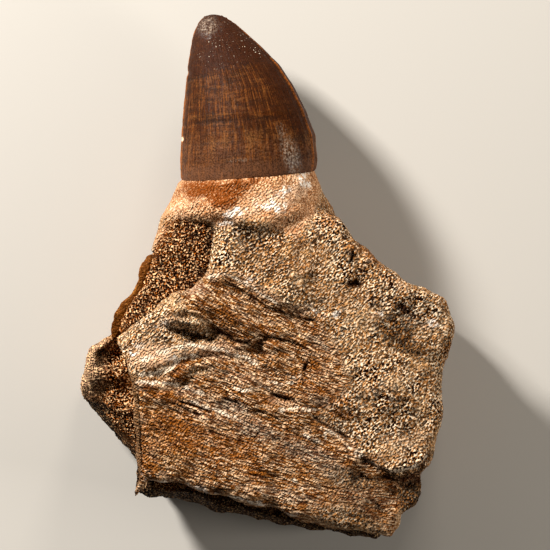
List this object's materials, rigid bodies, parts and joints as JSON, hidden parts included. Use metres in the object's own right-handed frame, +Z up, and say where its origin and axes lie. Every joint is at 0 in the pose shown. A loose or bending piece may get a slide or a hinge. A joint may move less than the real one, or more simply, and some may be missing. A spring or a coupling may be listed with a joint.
{
  "type": "fossil mosasaur tooth",
  "caption": "Brown striated mosasaur tooth crown on its swollen root, fused to a broken slab of fibrous jaw bone bedded in sandy rock.",
  "frame": {"origin": "centre of the bounding box in plan, on the flat ground back that the fossil rests on", "axes": "+Z up out of the better face, +Y along the tooth from the broken jaw towards the crown's tip, +X towards the weathered spongy side of the bone"},
  "size_m": [0.0937, 0.1321, 0.036],
  "materials": {
    "tooth_crown": "satin",
    "jaw_bone": "matte",
    "sand_rock": "matte",
    "socket_splinter": "matte"
  },
  "bodies": {
    "root": {"tooth_crown": "tooth_crown", "jaw_bone": "jaw_bone", "sand_rock": "sand_rock", "socket_splinter": "socket_splinter"}
  },
  "joints": []
}
